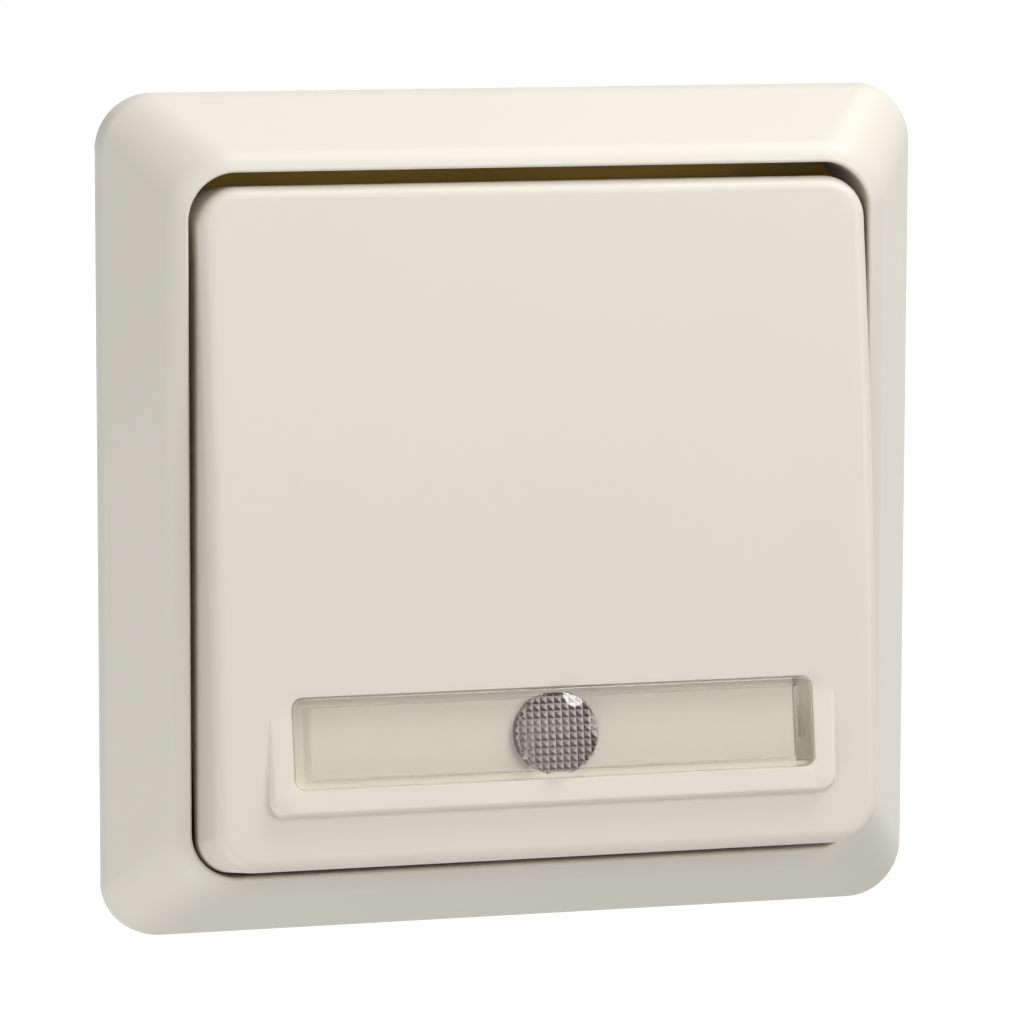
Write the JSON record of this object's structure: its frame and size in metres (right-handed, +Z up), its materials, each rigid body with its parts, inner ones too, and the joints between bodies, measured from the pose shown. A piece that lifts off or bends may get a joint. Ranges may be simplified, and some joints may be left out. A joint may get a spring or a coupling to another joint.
{
  "type": "illuminated push button",
  "caption": "Flush-mounted square push button with a bevelled frame, a tilting rocker, a label window with a round signal lens, and a wall box insert with push-in terminals.",
  "frame": {"origin": "centre of the wall plane, midway between the two box screw holes on the support plate's back", "axes": "+X to the right seen from the room, +Z up the wall, +Y into the wall, so the rocker faces -Y"},
  "size_m": [0.081, 0.0404, 0.081],
  "materials": {
    "cover_plastic": "moulded, polished, cream white",
    "clear_plastic": "clear, polished",
    "label_paper": "bare, matte",
    "carrier_plastic": "moulded, fine matte",
    "plated_steel": "zinc plated",
    "housing_plastic": "moulded, fine matte",
    "screw_steel": "zinc plated",
    "plunger_plastic": "moulded, matte",
    "contact_brass": "stamped, bright",
    "contact_silver": "bright",
    "spring_steel": "bright",
    "lever_plastic": "moulded",
    "lamp_glass": "clear",
    "resistor_body": "glazed, matte"
  },
  "bodies": {
    "insert": {"cover_frame": "cover_plastic", "support_plate": "plated_steel", "housing_cover": "housing_plastic", "base_housing": "housing_plastic", "assembly_screws": "screw_steel", "fixed_contacts": "contact_silver", "return_spring": "spring_steel", "phase_rail": "contact_brass", "neutral_rail": "contact_brass", "output_rail": "contact_brass", "lamp_socket": "carrier_plastic", "signal_lamp": "lamp_glass", "series_resistor": "resistor_body", "lamp_leads": "spring_steel", "clamp_spring_phase": "spring_steel", "clamp_spring_neutral": "spring_steel", "clamp_spring_output_upper": "spring_steel", "clamp_spring_output_lower": "spring_steel"},
    "rocker": {"rocker": "cover_plastic", "window_lens": "clear_plastic", "label_left": "label_paper", "label_right": "label_paper", "rocker_cradle": "carrier_plastic"},
    "plunger": {"contact_plunger": "plunger_plastic", "contact_bridge": "contact_brass", "moving_contacts": "contact_silver"},
    "lever_phase": {"release_lever_phase": "lever_plastic"},
    "lever_neutral": {"release_lever_neutral": "lever_plastic"},
    "lever_output_upper": {"release_lever_output_upper": "lever_plastic"},
    "lever_output_lower": {"release_lever_output_lower": "lever_plastic"}
  },
  "joints": [
    {"name": "rocker_press", "type": "hinge", "parent": "insert", "child": "rocker", "pos_m": [0, -0.0075, 0], "axis": [1, 0, 0], "range_deg": [0, 5.9], "stiffness_Nm_per_rad": 0.3, "springref_deg": -5.73},
    {"name": "plunger_slide", "type": "slide", "parent": "insert", "child": "plunger", "axis": [0, 1, 0], "range_m": [0, 0.000826], "deforming": ["return_spring"]},
    {"name": "release_phase", "type": "slide", "parent": "insert", "child": "lever_phase", "axis": [0, -1, 0], "range_m": [0, 0.001], "stiffness_N_per_m": 150, "springref_m": -0.002},
    {"name": "release_neutral", "type": "slide", "parent": "insert", "child": "lever_neutral", "axis": [0, -1, 0], "range_m": [0, 0.001], "stiffness_N_per_m": 150, "springref_m": -0.002},
    {"name": "release_output_upper", "type": "slide", "parent": "insert", "child": "lever_output_upper", "axis": [0, -1, 0], "range_m": [0, 0.001], "stiffness_N_per_m": 150, "springref_m": -0.002},
    {"name": "release_output_lower", "type": "slide", "parent": "insert", "child": "lever_output_lower", "axis": [0, -1, 0], "range_m": [0, 0.001], "stiffness_N_per_m": 150, "springref_m": -0.002}
  ],
  "couplings": [
    {"joint": "plunger_slide", "follows": "rocker_press", "m_per_rad": 0.008}
  ]
}
